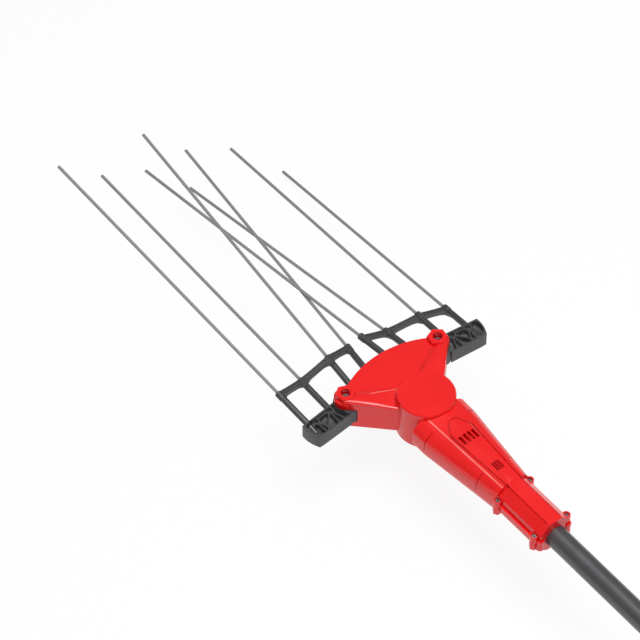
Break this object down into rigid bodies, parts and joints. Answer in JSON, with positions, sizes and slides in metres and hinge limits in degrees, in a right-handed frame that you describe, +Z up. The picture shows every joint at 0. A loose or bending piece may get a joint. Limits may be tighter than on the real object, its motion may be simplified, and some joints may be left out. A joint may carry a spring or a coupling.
{
  "type": "olive harvester",
  "caption": "Pole-mounted electric olive harvester head: two opposed combs of long slender tines swing from a red housing with a motor, face gear and crank slider.",
  "frame": {"origin": "centre of the pole's open lower end", "axes": "+Y along the pole towards the tines, +Z up out of the housing's top, +X to the right seen from the pole with the top up"},
  "size_m": [0.379, 1.0542, 0.2668],
  "materials": {
    "red_plastic": "glossy moulded nylon",
    "dark_tube": "satin dark anodised",
    "comb_plastic": "moulded glass-filled nylon",
    "tine_grey": "drawn fibre rod",
    "black_plastic": "moulded",
    "slider_plastic": "natural acetal",
    "gear_plastic": "natural nylon",
    "washer_plastic": "natural acetal",
    "steel": "ground",
    "zinc_steel": "bright zinc",
    "motor_steel": "plated",
    "magnet": "ferrite",
    "carbon": "pressed carbon",
    "bronze": "sintered",
    "copper": "drawn copper"
  },
  "bodies": {
    "housing": {"upper_shell": "red_plastic", "lower_shell": "red_plastic", "pole_tube": "dark_tube", "clamp_screws": "zinc_steel", "clamp_nuts": "zinc_steel", "shell_screws": "zinc_steel", "pivot_bolts": "zinc_steel", "pivot_nuts": "zinc_steel", "pivot_sleeves": "steel", "thrust_washers": "washer_plastic", "guide_rods": "steel", "crank_bearings": "steel", "bearing_spacer": "steel", "motor_can": "motor_steel", "motor_magnets": "magnet", "motor_end_cap": "black_plastic", "motor_brushes": "carbon", "motor_bearings": "bronze", "motor_plate": "motor_steel", "motor_screws": "zinc_steel"},
    "left_comb": {"comb_left": "comb_plastic", "comb_bush_left": "bronze", "lever_pin_left": "steel", "tine_left_1": "tine_grey", "tine_left_2": "tine_grey", "tine_left_3": "tine_grey", "tine_left_4": "tine_grey"},
    "right_comb": {"comb_right": "comb_plastic", "comb_bush_right": "bronze", "lever_pin_right": "steel", "tine_right_1": "tine_grey", "tine_right_2": "tine_grey", "tine_right_3": "tine_grey", "tine_right_4": "tine_grey"},
    "slide": {"slider": "slider_plastic"},
    "crank": {"face_gear": "gear_plastic", "crank_shaft": "steel", "crank_roller": "steel", "crank_circlip": "steel"},
    "rotor": {"pinion": "steel", "motor_shaft": "steel", "armature_core": "motor_steel", "armature_windings": "copper", "commutator": "copper"}
  },
  "joints": [
    {"name": "left_comb_swing", "type": "hinge", "parent": "housing", "child": "left_comb", "pos_m": [-0.077, 0.56, 0], "axis": [0, 0, 1], "range_deg": [-4, 4]},
    {"name": "right_comb_swing", "type": "hinge", "parent": "housing", "child": "right_comb", "pos_m": [0.077, 0.56, 0], "axis": [0, 0, 1], "range_deg": [-4, 4]},
    {"name": "slide_travel", "type": "slide", "parent": "housing", "child": "slide", "axis": [0, 1, 0], "range_m": [-0.004, 0.004]},
    {"name": "crank_turn", "type": "hinge", "parent": "housing", "child": "crank", "pos_m": [0, 0.49, 0], "axis": [0, 0, 1], "continuous": true},
    {"name": "rotor_turn", "type": "hinge", "parent": "housing", "child": "rotor", "pos_m": [0, 0.4, 0], "axis": [0, 1, 0], "continuous": true}
  ],
  "couplings": [
    {"joint": "right_comb_swing", "follows": "left_comb_swing", "ratio": -1},
    {"joint": "slide_travel", "follows": "left_comb_swing", "m_per_rad": 0.057},
    {"joint": "rotor_turn", "follows": "crank_turn", "ratio": 4}
  ]
}
